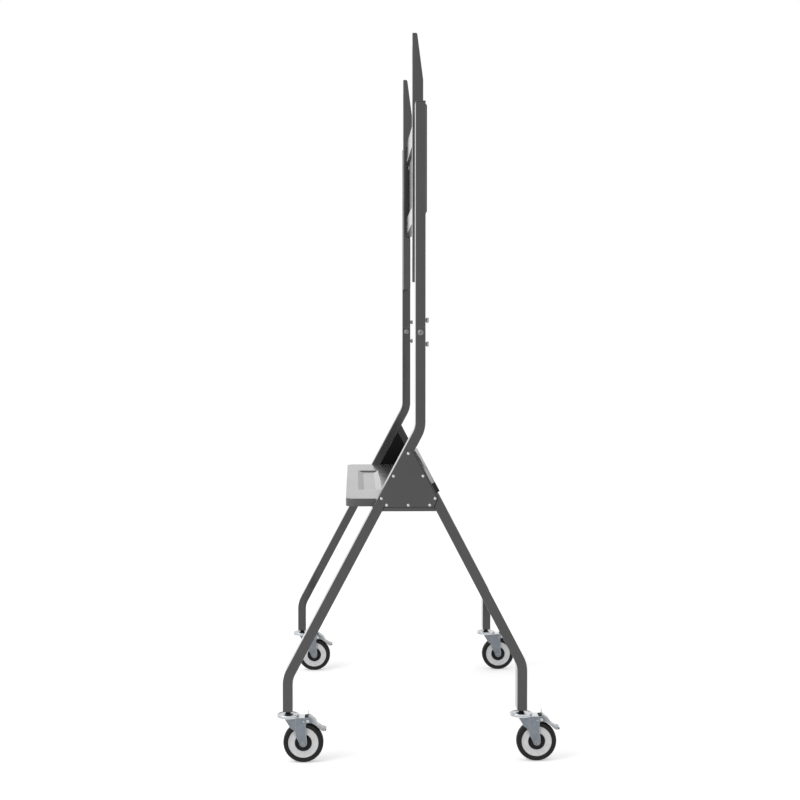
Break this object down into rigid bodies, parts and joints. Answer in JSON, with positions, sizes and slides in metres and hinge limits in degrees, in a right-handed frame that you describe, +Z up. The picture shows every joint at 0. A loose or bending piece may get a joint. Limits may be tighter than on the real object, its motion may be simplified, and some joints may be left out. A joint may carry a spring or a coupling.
{
  "type": "mobile tv stand",
  "caption": "Rolling stand for a wide screen: two A-shaped tube frames on swivel casters, joined by a shelf, a rear rail and a screen mount with sliding arms.",
  "frame": {"origin": "on the floor under the middle of the stand's box", "axes": "+Z up, -Y towards the side where the screen hangs and the shelf stands out, X along the width"},
  "size_m": [1.1926, 0.7168, 1.8576],
  "materials": {
    "dark_paint": "semi-gloss dark grey powder coat",
    "black_paint": "semi-gloss black powder coat",
    "black_plastic": "matt moulded",
    "zinc": "zinc plated",
    "rubber": "matt",
    "grey_plastic": "satin moulded"
  },
  "bodies": {
    "stand_frame": {"back_panel": "dark_paint", "front_left_caster_stem": "zinc", "front_right_caster_stem": "zinc", "left_cross_rail_cap": "black_plastic", "left_gusset": "dark_paint", "left_inner_cover": "black_paint", "left_lower_clamp_screw": "zinc", "left_main_tube": "dark_paint", "left_post_cap": "black_plastic", "left_rail_bracket": "dark_paint", "left_rear_leg": "dark_paint", "left_splice_bolt": "zinc", "left_splice_sleeve": "zinc", "left_tie_tube": "dark_paint", "left_upper_clamp_screw": "zinc", "left_upper_post": "dark_paint", "lower_rail": "dark_paint", "rear_cross_rail": "black_paint", "rear_left_caster_stem": "zinc", "rear_right_caster_stem": "zinc", "right_cross_rail_cap": "black_plastic", "right_gusset": "dark_paint", "right_inner_cover": "black_paint", "right_lower_clamp_screw": "zinc", "right_main_tube": "dark_paint", "right_post_cap": "black_plastic", "right_rail_bracket": "dark_paint", "right_rear_leg": "dark_paint", "right_splice_bolt": "zinc", "right_splice_sleeve": "zinc", "right_tie_tube": "dark_paint", "right_upper_clamp_screw": "zinc", "right_upper_post": "dark_paint", "shelf": "dark_paint", "upper_rail": "dark_paint"},
    "front_right_caster": {"front_right_fork": "zinc", "front_right_axle": "zinc"},
    "front_right_wheel": {"front_right_wheel_core": "grey_plastic", "front_right_tyre": "rubber"},
    "front_right_pedal": {"front_right_brake_pedal": "zinc"},
    "front_left_caster": {"front_left_fork": "zinc", "front_left_axle": "zinc"},
    "front_left_wheel": {"front_left_wheel_core": "grey_plastic", "front_left_tyre": "rubber"},
    "front_left_pedal": {"front_left_brake_pedal": "zinc"},
    "rear_right_caster": {"rear_right_fork": "zinc", "rear_right_axle": "zinc"},
    "rear_right_wheel": {"rear_right_wheel_core": "grey_plastic", "rear_right_tyre": "rubber"},
    "rear_right_pedal": {"rear_right_brake_pedal": "zinc"},
    "rear_left_caster": {"rear_left_fork": "zinc", "rear_left_axle": "zinc"},
    "rear_left_wheel": {"rear_left_wheel_core": "grey_plastic", "rear_left_tyre": "rubber"},
    "rear_left_pedal": {"rear_left_brake_pedal": "zinc"},
    "right_arm": {"right_screen_arm": "dark_paint", "right_arm_lock_screw": "zinc"},
    "left_arm": {"left_screen_arm": "dark_paint", "left_arm_lock_screw": "zinc"}
  },
  "joints": [
    {"name": "front_right_swivel", "type": "hinge", "parent": "stand_frame", "child": "front_right_caster", "pos_m": [0.5625, -0.32989, 0.1173], "axis": [0, 0, 1], "continuous": true},
    {"name": "front_right_roll", "type": "hinge", "parent": "front_right_caster", "child": "front_right_wheel", "pos_m": [0.5625, -0.29139, 0.0508], "axis": [1, 0, 0], "continuous": true},
    {"name": "front_right_brake", "type": "hinge", "parent": "front_right_caster", "child": "front_right_pedal", "pos_m": [0.5625, -0.27991, 0.10775], "axis": [1, 0, 0], "range_deg": [-5, 0]},
    {"name": "front_left_swivel", "type": "hinge", "parent": "stand_frame", "child": "front_left_caster", "pos_m": [-0.5625, -0.32989, 0.1173], "axis": [0, 0, 1], "continuous": true},
    {"name": "front_left_roll", "type": "hinge", "parent": "front_left_caster", "child": "front_left_wheel", "pos_m": [-0.5625, -0.29139, 0.0508], "axis": [1, 0, 0], "continuous": true},
    {"name": "front_left_brake", "type": "hinge", "parent": "front_left_caster", "child": "front_left_pedal", "pos_m": [-0.5625, -0.27991, 0.10775], "axis": [1, 0, 0], "range_deg": [-5, 0]},
    {"name": "rear_right_swivel", "type": "hinge", "parent": "stand_frame", "child": "rear_right_caster", "pos_m": [0.5625, 0.26111, 0.1173], "axis": [0, 0, 1], "continuous": true},
    {"name": "rear_right_roll", "type": "hinge", "parent": "rear_right_caster", "child": "rear_right_wheel", "pos_m": [0.5625, 0.29961, 0.0508], "axis": [1, 0, 0], "continuous": true},
    {"name": "rear_right_brake", "type": "hinge", "parent": "rear_right_caster", "child": "rear_right_pedal", "pos_m": [0.5625, 0.31109, 0.10775], "axis": [1, 0, 0], "range_deg": [-5, 0]},
    {"name": "rear_left_swivel", "type": "hinge", "parent": "stand_frame", "child": "rear_left_caster", "pos_m": [-0.5625, 0.26111, 0.1173], "axis": [0, 0, 1], "continuous": true},
    {"name": "rear_left_roll", "type": "hinge", "parent": "rear_left_caster", "child": "rear_left_wheel", "pos_m": [-0.5625, 0.29961, 0.0508], "axis": [1, 0, 0], "continuous": true},
    {"name": "rear_left_brake", "type": "hinge", "parent": "rear_left_caster", "child": "rear_left_pedal", "pos_m": [-0.5625, 0.31109, 0.10775], "axis": [1, 0, 0], "range_deg": [-5, 0]},
    {"name": "right_arm_slide", "type": "slide", "parent": "stand_frame", "child": "right_arm", "axis": [1, 0, 0], "range_m": [-0.3, 0.1]},
    {"name": "left_arm_slide", "type": "slide", "parent": "stand_frame", "child": "left_arm", "axis": [-1, 0, 0], "range_m": [-0.3, 0.1]}
  ]
}
